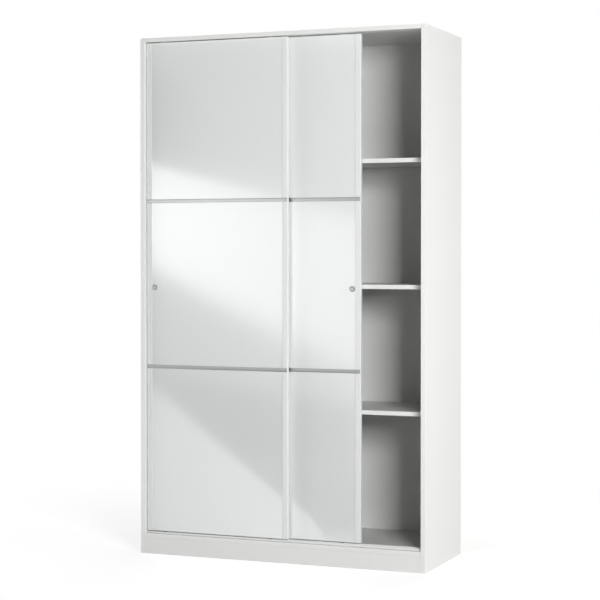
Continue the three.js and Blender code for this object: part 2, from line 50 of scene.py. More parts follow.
AXIS = {"x": Vector((1, 0, 0)), "y": Vector((0, 1, 0)), "z": Vector((0, 0, 1))}
ORDER = "xyz"

DOORS = ("left_door", "right_door")
HANDS = ("left", "right")
LEVELS = ("lower", "middle", "upper")

# Sizes that more than one piece takes

GAP = 0.3 * MM
BAND = 1.0 * MM
BAND_ROUND = 0.7 * MM
SHELF_THICK = 16 * MM
PROFILE_WALL = 1.7 * MM
STILE_FACE = 21 * MM
STILE_WEB = 4 * MM
STILE_ROUND = 3 * MM
BAR_HALF = 7 * MM
BAR_WEB_HALF = 1 * MM


# Shader maths

class Level:
    """One output of a node, used in sums like a number."""

    def __init__(self, nodes, output):
        self.nodes = nodes
        self.output = output

    def maths(self, operation, first, second):
        return self.nodes.node("ShaderNodeMath", {"operation": operation}, {0: first, 1: second})

    def __add__(self, other):
        return self.maths("ADD", self, other)

    __radd__ = __add__

    def __sub__(self, other):
        return self.maths("SUBTRACT", self, other)

    def __rsub__(self, other):
        return self.maths("SUBTRACT", other, self)

    def __mul__(self, other):
        return self.maths("MULTIPLY", self, other)

    __rmul__ = __mul__

    def __gt__(self, other):
        return self.maths("GREATER_THAN", self, other)

    def __lt__(self, other):
        return self.maths("LESS_THAN", self, other)

    def maximum(self, other):
        return self.maths("MAXIMUM", self, other)


class Nodes:
    """The nodes of a material or of the world."""

    def __init__(self, holder):
        holder.use_nodes = True
        self.tree = holder.node_tree

    def node(self, kind, settings=None, inputs=None, output=0):
        made = self.tree.nodes.new(kind)
        for setting, value in (settings or {}).items():
            setattr(made, setting, value)
        for socket, value in (inputs or {}).items():
            if isinstance(value, Level):
                self.tree.links.new(value.output, made.inputs[socket])
            else:
                made.inputs[socket].default_value = value
        return Level(self, made.outputs[output])

    def place(self, stretch=(1, 1, 1)):
        """The point of the surface, in metres, drawn out along the grain where stretch is small."""
        point = self.node("ShaderNodeTexCoord", output="Object")
        return self.node("ShaderNodeMapping", None, {"Vector": point, "Scale": stretch})


class Finish(Nodes):
    """A material: constants on the shader's own sockets, and nodes for what changes over a surface."""

    def __init__(self, name, **constants):
        self.material = bpy.data.materials.new(name)
        super().__init__(self.material)
        self.shader = self.tree.nodes["Principled BSDF"]
        for socket, value in constants.items():
            self.shader.inputs[socket.replace("_", " ")].default_value = value

    def feed(self, socket, level):
        self.tree.links.new(level.output, self.shader.inputs[socket])

    def along(self, axis):
        point = self.node("ShaderNodeTexCoord", output="Object")
        return self.node("ShaderNodeSeparateXYZ", None, {0: point}, ORDER.index(axis))

    def noise(self, scale, detail, stretch=(1, 1, 1), roughness=0.5):
        """A cloudy level from 0 to 1, with its middle near a half."""
        return self.node("ShaderNodeTexNoise", None, {
            "Vector": self.place(stretch), "Scale": scale, "Detail": detail, "Roughness": roughness,
        })

    def ramp(self, level, stops):
        """A colour for each level, from (level, colour) stops."""
        made = self.node("ShaderNodeValToRGB", None, {"Fac": level})
        colours = made.output.node.color_ramp
        for stop, (where, colour) in enumerate(stops):
            if stop < len(colours.elements):
                element = colours.elements[stop]
                element.position = where
            else:
                element = colours.elements.new(where)
            element.color = (*colour, 1)
        return made

    def mix(self, share, first, second):
        """A colour between two, by a share from 0 to 1."""
        return self.node("ShaderNodeMix", {"data_type": "RGBA"}, {0: share, 6: first, 7: second}, 2)

    def shaded(self, colour, level):
        """A colour made lighter or darker by a level near 1."""
        return self.node("ShaderNodeMix", {"data_type": "RGBA", "blend_type": "MULTIPLY"},
                         {0: 1.0, 6: (*colour, 1), 7: level}, 2)

    def bump(self, height, depth, strength):
        self.feed("Normal", self.node("ShaderNodeBump", None, {
            "Height": height, "Distance": depth, "Strength": strength,
        }))


# Finishes

WHITE_BOARD = (0.800, 0.806, 0.786)
BAND_WHITE = (0.820, 0.824, 0.808)
# Painted shade: the same white melamine made darker for the boards inside the cabinet, so that its bays
# look shaded
SHADE_PAINTED_WHITE = (0.620, 0.626, 0.610)
BACK_WHITE = (0.750, 0.756, 0.738)
GLOSS_WHITE = (0.735, 0.760, 0.752)
PROFILE_WHITE = (0.765, 0.777, 0.773)
BAR_GREY = (0.312, 0.317, 0.317)
PULL_GREY = (0.53, 0.54, 0.55)
PLASTIC_WHITE = (0.78, 0.785, 0.775)
WHEEL_GREY = (0.290, 0.300, 0.310)
STEEL = (0.62, 0.63, 0.64)
HARDBOARD_BROWN = (0.235, 0.130, 0.066)
CHIP_PALE = (0.56, 0.41, 0.25)
CHIP_DARK = (0.25, 0.155, 0.085)


def melamine(name, colour):
    """Melamine on chipboard: a fine pebbled face with a very faint upright grain."""
    finish = Finish(name, IOR=1.5)
    drift = finish.noise(2.2, 3.0)
    grain = finish.noise(1.0, 4.0, (150, 150, 2.4), 0.6)
    tone = 0.966 + 0.030 * drift + 0.038 * grain
    finish.feed("Base Color", finish.shaded(colour, tone))
    finish.feed("Roughness", 0.36 + 0.16 * finish.noise(45, 3.0))
    finish.bump(finish.noise(950, 2.0) + 0.5 * grain, 0.05 * MM, 0.55)
    return finish.material


def edge_band(name, colour):
    """The thin plastic band glued round a board's edge: smoother, with marks along its length."""
    finish = Finish(name, IOR=1.5)
    lines = finish.noise(1.0, 3.0, (6, 900, 6), 0.6)
    finish.feed("Base Color", finish.shaded(colour, 0.975 + 0.05 * lines))
    finish.feed("Roughness", 0.30 + 0.14 * lines)
    finish.bump(finish.noise(600, 2.0), 0.03 * MM, 0.4)
    return finish.material


def chipboard(name):
    """The raw edge of a board, with pressed chips and small gaps between them."""
    finish = Finish(name)
    chips = finish.node("ShaderNodeTexVoronoi", {"feature": "F1"}, {
        "Vector": finish.place((1, 1, 1.6)), "Scale": 420.0, "Randomness": 1.0,
    })
    fibres = finish.noise(260, 5.0, (1, 1, 2.5), 0.7)
    colour = finish.ramp(0.45 * chips + 0.75 * fibres, [
        (0.28, CHIP_DARK), (0.46, (0.43, 0.30, 0.175)), (0.62, CHIP_PALE), (0.80, (0.66, 0.51, 0.33)),
    ])
    finish.feed("Base Color", colour)
    finish.feed("Roughness", 0.78 + 0.15 * fibres)
    finish.bump(chips + fibres, 0.35 * MM, 0.8)
    return finish.material


def hardboard(name, colour, middle):
    """Hardboard, painted white on the side that faces into the cabinet and bare brown behind."""
    finish = Finish(name)
    behind = finish.along("y") > middle
    flecks = finish.noise(330, 5.0, roughness=0.75)
    clouds = finish.noise(5, 3.0)
    bare = finish.ramp(0.65 * flecks + 0.35 * clouds, [
        (0.30, (0.135, 0.070, 0.034)), (0.50, HARDBOARD_BROWN), (0.72, (0.33, 0.20, 0.11)),
    ])
    painted = finish.shaded(colour, 0.965 + 0.05 * clouds + 0.02 * flecks)
    finish.feed("Base Color", finish.mix(behind, painted, bare))
    finish.feed("Roughness", 0.46 + 0.28 * behind + 0.08 * flecks)
    weave = finish.noise(1400, 2.0)
    finish.bump(0.25 * flecks + (0.25 + behind) * weave, 0.09 * MM, 0.6)
    return finish.material


def gloss_lacquer(name, colour, middle):
    """High gloss lacquer on the front of a door panel, and a plain satin face behind."""
    finish = Finish(name, IOR=1.5, Coat_Roughness=0.055, Coat_IOR=1.5)
    front = finish.along("y") < middle
    clouds = finish.noise(1.7, 2.0)
    finish.feed("Base Color", finish.shaded(colour, 0.985 + 0.03 * clouds))
    finish.feed("Coat Weight", front)
    finish.feed("Roughness", 0.42 - 0.30 * front + 0.04 * clouds)
    finish.bump(finish.noise(150, 2.0), 0.004 * MM, 0.5)
    return finish.material


def satin_profile(name, colour):
    """Pale powder coat on the stiles: fine orange peel, and faint draw marks up its length."""
    finish = Finish(name, IOR=1.5)
    draw = finish.noise(1.0, 3.0, (1400, 1400, 3), 0.6)
    peel = finish.noise(700, 2.0)
    finish.feed("Base Color", finish.shaded(colour, 0.975 + 0.03 * draw + 0.02 * peel))
    finish.feed("Roughness", 0.30 + 0.12 * draw)
    finish.bump(0.6 * peel + 0.4 * draw, 0.04 * MM, 0.5)
    return finish.material


def brushed_metal(name, colour, stretch, roughness):
    """Satin anodised metal with fine marks drawn out along one direction."""
    finish = Finish(name, Metallic=1.0)
    marks = finish.noise(1.0, 4.0, stretch, 0.7)
    clouds = finish.noise(30, 2.0)
    finish.feed("Base Color", finish.shaded(colour, 0.90 + 0.16 * marks + 0.04 * clouds))
    finish.feed("Roughness", roughness - 0.08 + 0.16 * marks)
    finish.bump(marks, 0.02 * MM, 0.5)
    return finish.material


def silver_lacquer(name, colour):
    """Silver lacquer on the finger pulls: fine metal flakes in a grey coat."""
    finish = Finish(name, Metallic=0.2, IOR=1.5)
    flakes = finish.node("ShaderNodeTexVoronoi", {"feature": "F1"}, {
        "Vector": finish.place(), "Scale": 4000.0,
    })
    clouds = finish.noise(160, 2.0)
    finish.feed("Base Color", finish.shaded(colour, 0.90 + 0.16 * flakes + 0.06 * clouds))
    finish.feed("Roughness", 0.44 + 0.10 * clouds)
    finish.bump(flakes, 0.01 * MM, 0.4)
    return finish.material


def moulded_plastic(name, colour, roughness):
    """Moulded plastic: even colour, a fine spark-eroded texture and soft flow marks."""
    finish = Finish(name, IOR=1.47)
    grit = finish.noise(1800, 2.0)
    flow = finish.noise(60, 3.0, (1, 1, 0.25))
    finish.feed("Base Color", finish.shaded(colour, 0.96 + 0.05 * flow + 0.03 * grit))
    finish.feed("Roughness", roughness - 0.04 + 0.10 * grit)
    finish.bump(grit + 0.5 * flow, 0.03 * MM, 0.5)
    return finish.material


def zinc_steel(name, colour):
    """Bright zinc plate with a faint spangle."""
    finish = Finish(name, Metallic=1.0)
    spangle = finish.node("ShaderNodeTexVoronoi", {"feature": "F1"}, {
        "Vector": finish.place(), "Scale": 900.0,
    })
    scuffs = finish.noise(700, 3.0, (1, 1, 0.2), 0.7)
    finish.feed("Base Color", finish.shaded(colour, 0.86 + 0.12 * spangle + 0.10 * scuffs))
    finish.feed("Roughness", 0.24 + 0.16 * scuffs)
    finish.bump(scuffs, 0.02 * MM, 0.5)
    return finish.material


def mid_depth(node):
    low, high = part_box(node)
    return (low.y + high.y) / 2


MELAMINE = melamine("white melamine", WHITE_BOARD)
# The same melamine made darker, as painted shade for the partition, the bottom board and the shelves
SHADE_PAINTED_MELAMINE = melamine("melamine with painted inner shade", SHADE_PAINTED_WHITE)
WHITE_BAND = edge_band("white edge band", BAND_WHITE)
RAW_EDGE = chipboard("raw chipboard edge")
WHITE_BACK = hardboard("white faced hardboard", BACK_WHITE, mid_depth("back_panel_left"))
GLOSS = {door: gloss_lacquer(f"gloss lacquer {door}", GLOSS_WHITE, mid_depth(f"{door}_middle_panel"))
         for door in DOORS}
SATIN_STILE = satin_profile("pale satin profile", PROFILE_WHITE)
SATIN_BAR = brushed_metal("satin anodised bar", BAR_GREY, (4, 900, 900), 0.31)
SILVER_PULL = silver_lacquer("silver lacquered pull", PULL_GREY)
WHITE_PLASTIC = moulded_plastic("white moulded plastic", PLASTIC_WHITE, 0.42)
DARK_PLASTIC = moulded_plastic("dark moulded plastic", WHEEL_GREY, 0.46)
ZINC = zinc_steel("zinc plated steel", STEEL)


# Modelling by hand with Blender's operators

NEARNESS = 0.02 * MM
DOUBLES = 0.002 * MM
FLAT_ANGLE = math.radians(0.5)
SHARP_ANGLE = math.radians(40)
SMOOTH_DEGREES = 35


def clear_selection():
    if bpy.context.object and bpy.context.object.mode != "OBJECT":
        bpy.ops.object.mode_set(mode="OBJECT")
    bpy.ops.object.select_all(action="DESELECT")


def make_active(piece):
    clear_selection()
    piece.select_set(True)
    bpy.context.view_layer.objects.active = piece


def begin_edit(piece):
    make_active(piece)
    bpy.ops.object.mode_set(mode="EDIT")
    bpy.ops.mesh.select_all(action="DESELECT")


def named(name):
    piece = bpy.context.object
    piece.name = name
    piece.data.name = name
    bpy.ops.object.transform_apply(location=True, rotation=True, scale=True)
    return piece


def middle(part):
    """The middle of an edge's or a face's corners."""
    return sum((corner.co for corner in part.verts), Vector()) / len(part.verts)


def pick(piece, kind, wanted):
    """Selects the edges or faces that a test on their place or direction picks."""
    bpy.ops.mesh.select_all(action="DESELECT")
    bpy.ops.mesh.select_mode(type=kind)
    mesh = bmesh.from_edit_mesh(piece.data)
    for part in mesh.edges if kind == "EDGE" else mesh.faces:
        if wanted(part):
            part.select_set(True)
    mesh.select_flush_mode()
    bmesh.update_edit_mesh(piece.data)


def runs(edge, axis):
    """Whether an edge runs along an axis."""
    ends = edge.verts[1].co - edge.verts[0].co
    return abs(ends.normalized().dot(AXIS[axis])) > 0.999


def near(value, target):
    return abs(value - target) < NEARNESS


def tidied(piece, smooth=SMOOTH_DEGREES):
    """Leaves edit mode with doubles merged, faces outwards, and flat faces shaded flat."""
    bpy.ops.mesh.select_mode(type="VERT")
    bpy.ops.mesh.select_all(action="SELECT")
    bpy.ops.mesh.remove_doubles(threshold=DOUBLES)
    bpy.ops.mesh.normals_make_consistent(inside=False)
    bpy.ops.object.mode_set(mode="OBJECT")
    bpy.ops.object.shade_smooth_by_angle(angle=math.radians(smooth))
    weigh = piece.modifiers.new("flat faces", "WEIGHTED_NORMAL")
    weigh.keep_sharp = True
    bpy.ops.object.modifier_apply(modifier=weigh.name)
    return piece


def reshaded(piece, smooth=SMOOTH_DEGREES):
    begin_edit(piece)
    return tidied(piece, smooth)


def block(name, low, high):
    clear_selection()
    low, high = Vector(low), Vector(high)
    bpy.ops.mesh.primitive_cube_add(size=1, location=(low + high) / 2, scale=high - low)
    return named(name)


def rod(name, radius, centre, axis, length, sides=24):
    """A plain round bar, used as a drill."""
    clear_selection()
    turn = {"x": (0, math.pi / 2, 0), "y": (math.pi / 2, 0, 0), "z": (0, 0, 0)}[axis]
    bpy.ops.mesh.primitive_cylinder_add(vertices=sides, radius=radius, depth=length, location=centre,
                                        rotation=turn)
    return named(name)


def rounded_block(name, low, high, axes, radius, steps=3, wanted=lambda edge: True):
    """A cube at its size and place, with the edges along some axes bevelled."""
    piece = block(name, low, high)
    begin_edit(piece)
    pick(piece, "EDGE", lambda edge: any(runs(edge, axis) for axis in axes) and wanted(edge))
    bpy.ops.mesh.bevel(offset=radius, segments=steps, affect="EDGES")
    return tidied(piece)


def arc(centre, radius, start, end, steps):
    """The points of an arc, from one angle to another, both given in half turns."""
    turns = [math.pi * (start + (end - start) * step / steps) for step in range(steps + 1)]
    return [(centre[0] + radius * math.cos(turn), centre[1] + radius * math.sin(turn)) for turn in turns]


def draw_line(name, places):
    """Starts a piece as a line, drawn by extruding one point from place to place."""
    clear_selection()
    bpy.ops.mesh.primitive_plane_add(size=MM, location=places[0])
    piece = named(name)
    begin_edit(piece)
    bpy.ops.mesh.select_all(action="SELECT")
    bpy.ops.mesh.merge(type="CENTER")
    for here, there in zip(places, places[1:]):
        bpy.ops.mesh.extrude_vertices_move(TRANSFORM_OT_translate={"value": there - here})
    bpy.ops.mesh.select_all(action="SELECT")
    return piece


def drawn(name, outline, axis, start, end, smooth=SMOOTH_DEGREES):
    """A profile that is drawn, filled and pulled along an axis. Its points lie in the plane of the
    other two axes, in turn: Y and Z for one along x, Z and X for y, X and Y for z."""
    turn = ORDER.index(axis)
    across, up = AXIS[ORDER[(turn + 1) % 3]], AXIS[ORDER[(turn + 2) % 3]]
    piece = draw_line(name, [across * a + up * b + AXIS[axis] * start for a, b in outline])
    bpy.ops.mesh.edge_face_add()
    bpy.ops.mesh.extrude_region_move(TRANSFORM_OT_translate={"value": AXIS[axis] * (end - start)})
    return tidied(piece, smooth)


def turned(name, profile, centre, axis, sides, smooth=SMOOTH_DEGREES):
    """A piece spun about an axis. Its profile gives radii, and places along the axis from the centre,
    in millimetres."""
    centre = Vector(centre)
    out = AXIS["x"] if axis == "z" else AXIS["z"]
    places = [centre + (out * radius + AXIS[axis] * along) * MM for radius, along in profile]
    piece = draw_line(name, places)
    bpy.ops.mesh.spin(steps=sides, angle=2 * math.pi, center=centre, axis=AXIS[axis])
    return tidied(piece, smooth)


def cut(piece, other, operation="DIFFERENCE"):
    """Takes another piece's shape out of a piece, or for UNION melts it in. The other goes away."""
    make_active(piece)
    change = piece.modifiers.new("cut", "BOOLEAN")
    change.operation = operation
    change.solver = "EXACT"
    change.object = other
    bpy.ops.object.modifier_apply(modifier=change.name)
    bpy.data.objects.remove(other)


def melted(name, piece, *others):
    """One moulding made of pieces that reach into each other."""
    for other in others:
        cut(piece, other, "UNION")
    piece.name = name
    piece.data.name = name
    return piece


def softened(piece, width, steps=2):
    """Rounds every sharp edge of a piece a little."""
    make_active(piece)
    round_off = piece.modifiers.new("round", "BEVEL")
    round_off.width = width
    round_off.segments = steps
    round_off.limit_method = "ANGLE"
    round_off.angle_limit = SHARP_ANGLE
    bpy.ops.object.modifier_apply(modifier=round_off.name)
    return reshaded(piece)


def from_cad(name, node):
    """A merged copy of a CAD node's mesh, ready for work in edit mode."""
    piece = bpy.data.objects.new(name, NODES[node].data.copy())
    SCENE.collection.objects.link(piece)
    piece.data.name = name
    piece.data.materials.clear()
    begin_edit(piece)
    bpy.ops.mesh.select_all(action="SELECT")
    bpy.ops.mesh.customdata_custom_splitnormals_clear()
    bpy.ops.mesh.remove_doubles(threshold=DOUBLES)
    bpy.ops.mesh.dissolve_limited(angle_limit=FLAT_ANGLE)
    return piece


def copied(piece, name, offset):
    """A copy with its own mesh, moved by an offset."""
    made = bpy.data.objects.new(name, piece.data.copy())
    SCENE.collection.objects.link(made)
    made.data.name = name
    begin_edit(made)
    bpy.ops.mesh.select_all(action="SELECT")
    bpy.ops.transform.translate(value=offset)
    return leave(made)


def leave(piece):
    bpy.ops.object.mode_set(mode="OBJECT")
    return piece


def joined(name, pieces):
    clear_selection()
    for piece in pieces:
        piece.select_set(True)
    bpy.context.view_layer.objects.active = pieces[0]
    bpy.ops.object.join()
    pieces[0].name = name
    pieces[0].data.name = name
    return pieces[0]


def repeated(piece, name, offsets):
    """Copies of a piece, each at an offset from it, joined into one. The first piece goes away."""
    copies = [copied(piece, f"{name}_copy", Vector(offset)) for offset in offsets]
    bpy.data.objects.remove(piece)
    return joined(name, copies)


def fit(piece, body, slot, *finishes, stands_for=()):
    """Gives a finished piece its materials and its body, and hides the CAD nodes that it stands for. The
    slot is not used.
    """
    for finish in finishes:
        piece.data.materials.append(finish)
    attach(piece, body)
    if stands_for:
        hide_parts(*stands_for)
    return piece


def give_raw_edges(piece, wanted, cover=MELAMINE):
    """Gives a board bare chipboard on the faces that a test picks, and melamine on the rest."""
    piece.data.materials.append(cover)
    piece.data.materials.append(RAW_EDGE)
    begin_edit(piece)
    pick(piece, "FACE", wanted)
    piece.active_material_index = 1
    bpy.ops.object.material_slot_assign()
    return leave(piece)


def cut_cross(piece, centre, axis, size, depth):
    """Cuts a driver's cross into a round head, as deep on both sides of its centre. Its arms are two
    ninths of its size wide."""
    along = AXIS[axis] * depth
    sides = [AXIS[name] for name in ORDER if name != axis]
    for long, short in (sides, sides[::-1]):
        reach = long * size / 2 + short * size / 9
        ends = [centre - reach - along, centre + reach + along]
        low = Vector(min(pair) for pair in zip(*ends))
        high = Vector(max(pair) for pair in zip(*ends))
        cut(piece, block("cross", low, high))


# Carcass boards. Each has a thin band glued on its front edge, and bare chipboard where none is.

HOLE_RADIUS = 2.6 * MM
HOLE_DEPTH = 7 * MM
HOLE_PITCH = 32 * MM
PIN_INSET = 37 * MM
PIN_DROP = 2.11 * MM

CAM_RADIUS = 7.5 * MM
CAM_CLEARANCE = 0.2 * MM
CAM_BORE = 1.8 * MM
CAM_SUNK = 0.4 * MM
CAM_CROSS = 6.4 * MM
CAM_CROSS_DEPTH = 1.3 * MM
CAM_INSET = 34 * MM
CAM_SETBACK = 70 * MM

PLINTH_ROUND = 0.5 * MM


def pin_places():
    """The two rows of shelf pins, from front to back, and the height of the pins under each shelf."""
    low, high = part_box("right_lower_shelf")
    rows = (low.y + PIN_INSET, high.y - PIN_INSET)
    heights = [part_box(f"right_{level}_shelf")[1].z - SHELF_THICK - PIN_DROP for level in LEVELS]
    return rows, heights


def bore_pin_holes(piece, face):
    rows, heights = pin_places()
    holes = [rod("hole", HOLE_RADIUS, (face, row, height + step * HOLE_PITCH), "x", 2 * HOLE_DEPTH)
             for row in rows for height in heights for step in (-1, 0, 1)]
    cut(piece, joined("holes", holes))


def cut_back_groove(piece, node):
    """The groove for the back panels runs right along the board."""
    spare = Vector((GAP, GAP, GAP))
    low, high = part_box("back_panel_left")[0] - spare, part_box("back_panel_right")[1] + spare
    along = ORDER.index("z" if "side" in node else "x")
    low[along], high[along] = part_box(node)[0][along] - MM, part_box(node)[1][along] + MM
    cut(piece, block("groove", low, high))


def cut_channel_groove(piece, channel):
    low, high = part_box(channel)
    cut(piece, block("groove", low - Vector((MM, GAP, MM)), high + Vector((MM, GAP, GAP))))


def cam_places(node):
    low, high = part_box(node)
    return [(x, y) for x in (low.x + CAM_INSET, high.x - CAM_INSET)
            for y in (low.y + CAM_SETBACK, high.y - CAM_SETBACK)]


def set_cams(node, face, inward):
    """Cam fittings, sunk in the face of a board that isn't seen in use, with a cross to turn them by."""
    places = cam_places(node)
    first = places[0]
    radius = CAM_RADIUS / MM
    base, top = CAM_BORE / MM - 0.1, CAM_SUNK / MM
    body = [(0, base), (radius - 0.15, base), (radius, base - 0.15), (radius, top + 0.25)]
    dish = [(radius - 0.3, top), (5.9, top), (5.6, top + 0.2), (0, top + 0.2)]
    profile = [(reach, inward * depth) for reach, depth in body + dish]
    cam = turned(f"{node}_cams", profile, (*first, face), "z", 40)
    cut_cross(cam, Vector((*first, face)), "z", CAM_CROSS, CAM_CROSS_DEPTH)
    offsets = [(x - first[0], y - first[1], 0) for x, y in places]
    cams = reshaded(repeated(cam, f"{node}_cams", offsets))
    fit(cams, "cabinet", "bright_steel", ZINC)


def build_board(node):
    low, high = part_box(node)
    low.y += BAND
    piece = block(f"{node}_board", low, high)
    if node != "partition":
        cut_back_groove(piece, node)
    if node in ("left_side", "partition"):
        bore_pin_holes(piece, high.x)
    if node in ("right_side", "partition"):
        bore_pin_holes(piece, low.x)
    if node == "top_board":
        cut_channel_groove(piece, "front_guide_channel")
        cut_channel_groove(piece, "rear_guide_channel")
    if node in ("top_board", "bottom_board"):
        face, inward = (high.z, -1) if node == "top_board" else (low.z, 1)
        bores = [rod("bore", CAM_RADIUS + CAM_CLEARANCE, (x, y, face), "z", 2 * CAM_BORE, 40)
                 for x, y in cam_places(node)]
        cut(piece, joined("bores", bores))
        set_cams(node, face, inward)
    reshaded(piece, 30)

    def bare(face):
        at = middle(face)
        outer = any(near(at[axis], edge[axis]) for axis in range(3) for edge in (low, high))
        return not outer or near(at.y, high.y) or ("side" in node and near(at.z, low.z))

    # The partition and the bottom board take the melamine that is darkened as painted shade
    give_raw_edges(piece, bare, SHADE_PAINTED_MELAMINE if node in ("partition", "bottom_board") else MELAMINE)
    fit(piece, "cabinet", "white_board", stands_for=[node])
    long = "z" if high.z - low.z > high.x - low.x else "x"
    front = low.y - BAND
    band = rounded_block(f"{node}_front_band", (low.x, front, low.z), (high.x, low.y, high.z), long,
                         BAND_ROUND, wanted=lambda edge: near(middle(edge).y, front))
    fit(band, "cabinet", "white_board", WHITE_BAND)


def build_carcass():
    for node in ("left_side", "right_side", "top_board", "bottom_board", "partition"):
        build_board(node)
    for node in ("front_plinth", "rear_plinth"):
        low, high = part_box(node)
        piece = rounded_block(f"{node}_board", low, high, "x", PLINTH_ROUND, 2)

        def bare(face):
            return near(middle(face).z, low.z) or abs(middle(face).x) > high.x - MM

        give_raw_edges(piece, bare)
        fit(piece, "cabinet", "white_board", stands_for=[node])
    for node in ("back_panel_left", "back_panel_right"):
        NODES[node].data.materials[0] = WHITE_BACK


# Shelves, and the pins that carry them

SHELF_END_GAP = 1.5 * MM
SHELF_ROUND = 0.25 * MM


def build_shelf(hand, level):
    node = f"{hand}_{level}_shelf"
    low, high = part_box(node)
    faces = [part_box("partition")[1].x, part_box("right_side")[0].x]
    if hand == "left":
        faces = [-face for face in faces[::-1]]
    ends = (faces[0] + SHELF_END_GAP, faces[1] - SHELF_END_GAP)
    under, front = high.z - SHELF_THICK, low.y
    plank = rounded_block(f"{node}_board", (ends[0], front + BAND, under), (ends[1], high.y, high.z), "x",
                          SHELF_ROUND, 2, wanted=lambda edge: near(middle(edge).y, high.y))
    # The shelves take the melamine that is darkened as painted shade
    give_raw_edges(plank, lambda face: near(middle(face).y, high.y), SHADE_PAINTED_MELAMINE)
    fit(plank, "cabinet", "white_board", stands_for=[node])
    band = rounded_block(f"{node}_front_band", (ends[0], front, under), (ends[1], front + BAND, high.z),
                         "x", BAND_ROUND, wanted=lambda edge: near(middle(edge).y, front))
    fit(band, "cabinet", "white_board", WHITE_BAND)


def build_pins():
    """Steel pins, each with a collar against the board and a round end under the shelf."""
    rows, heights = pin_places()
    shank = [(0, -6.6), (1.9, -6.6), (2.3, -6.2), (2.3, -0.1)]
    collar = [(3.7, -0.05), (3.95, 0.2), (3.95, 0.85), (3.7, 1.15), (2.2, 1.2)]
    nose = [(2.1, 1.5), (2.1, 9.0), (1.95, 9.55), (1.5, 9.9), (0.9, 10.0), (0, 10.0)]
    for node, into in (("left_side", 1), ("partition", -1), ("partition", 1), ("right_side", -1)):
        low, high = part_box(node)
        face = high.x if into > 0 else low.x
        profile = [(radius, into * along) for radius, along in shank + collar + nose]
        name = f"{node}_{'right' if into > 0 else 'left'}_pins"
        pin = turned(name, profile, (face, rows[0], heights[0]), "x", 24)
        offsets = [(0, row - rows[0], height - heights[0]) for row in rows for height in heights]
        fit(repeated(pin, name, offsets), "cabinet", "bright_steel", ZINC)


def build_shelves():
    for hand in HANDS:
        for level in LEVELS:
            build_shelf(hand, level)
    build_pins()


# Doors. The faces of the bars run over the stiles, in notches.

NOTCH_DEPTH = PROFILE_WALL + GAP
CAP = 1.2 * MM
CAP_ROUND = 2.2 * MM
STILE_LIP = 0.5 * MM
STILE_GROOVE = 0.45 * MM
STILE_GROOVE_HALF = 0.4 * MM
STILE_GROOVE_INSET = 3.0 * MM

# Half of a bar's face in section, from its edge inwards: depths, and heights from its middle, in mm
BAR_FACE = [(0.5, 7.0), (0.16, 6.55), (0.10, 5.4), (0.45, 5.1), (0.08, 4.8)]


def stile_outline(edge, toward, front, back):
    """An edge profile seen from above: rounded outer edge, two cheeks that clamp the panel, and a fine
    groove near the inner lip."""
    wall, face, lip = PROFILE_WALL, STILE_FACE, STILE_LIP
    bottom = face - STILE_GROOVE_INSET
    side = [(face, wall), (face, lip), (face - lip * 0.3, lip * 0.3), (face - lip, 0)]
    side += [(bottom + STILE_GROOVE_HALF, 0), (bottom, STILE_GROOVE), (bottom - STILE_GROOVE_HALF, 0)]
    side += arc((STILE_ROUND, STILE_ROUND), STILE_ROUND, -0.5, -1, 7)
    before = [(edge + toward * x, front + y) for x, y in side]
    behind = [(edge + toward * x, back - y) for x, y in side]
    web = edge + toward * STILE_WEB
    return [*before, *behind[::-1], (web, back - wall), (web, front + wall)]


def bar_outline(height, front, back):
    """An H-shaped bar in section: two slightly crowned faces with fine grooves, joined by a web."""
    upper = [(PROFILE_WALL, BAR_WEB_HALF), (PROFILE_WALL, BAR_HALF)]
    upper += [(depth * MM, up * MM) for depth, up in BAR_FACE]
    side = [(depth, -up) for depth, up in upper] + [(0, 0)] + upper[::-1]
    before = [(front + depth, height + up) for depth, up in side]
    behind = [(back - depth, height + up) for depth, up in side]
    return before + behind[::-1]


def cut_notches(stile, edge, toward, front, back, height):
    """The notches that a bar's two faces run through."""
    across = sorted((edge + toward * (STILE_ROUND - GAP), edge + toward * (STILE_FACE + MM)))
    low, high = height - BAR_HALF - GAP, height + BAR_HALF + GAP
    for before, behind in ((front - MM, front + NOTCH_DEPTH), (back - NOTCH_DEPTH, back + MM)):
        cut(stile, block("notch", (across[0], before, low), (across[1], behind, high)))


def build_stile(door, hand, heights):
    """A door's edge profile, notched for the bars, and the caps on its two ends."""
    node = f"{door}_{hand}_stile"
    low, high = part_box(node)
    edge, toward = (low.x, 1) if hand == "left" else (high.x, -1)
    front, back = low.y, high.y
    stile = drawn(f"{node}_profile", stile_outline(edge, toward, front, back), "z",
                  low.z + CAP, high.z - CAP)
    for height in heights:
        cut_notches(stile, edge, toward, front, back, height)
    fit(reshaded(stile), door, "satin_profile", SATIN_STILE, stands_for=[node])
    x = sorted((edge, edge + toward * STILE_FACE))
    for end, z in (("lower", low.z), ("upper", high.z - CAP)):
        cap = rounded_block(f"{node}_{end}_cap", (x[0], front, z), (x[1], back, z + CAP), "z", CAP_ROUND, 4,
                            wanted=lambda corner: near(middle(corner).x, edge))
        fit(cap, door, "white_plastic", WHITE_PLASTIC)


def build_bar(door, level, height):
    """A crossbar, whose web is cleared at both ends for the webs of the stiles."""
    node = f"{door}_{level}_bar"
    low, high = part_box(f"{door}_left_stile")[0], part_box(f"{door}_right_stile")[1]
    front, back = low.y, high.y
    ends = (low.x + STILE_ROUND, high.x - STILE_ROUND)
    bar = drawn(f"{node}_profile", bar_outline(height, front, back), "x", *ends, 20)
    half = BAR_HALF + MM
    for x in ((ends[0] - MM, low.x + STILE_WEB + GAP), (high.x - STILE_WEB - GAP, ends[1] + MM)):
        cut(bar, block("clearing", (x[0], front + PROFILE_WALL, height - half),
                       (x[1], back - PROFILE_WALL, height + half)))
    fit(reshaded(bar, 20), door, "satin_metal", SATIN_BAR, stands_for=[node])


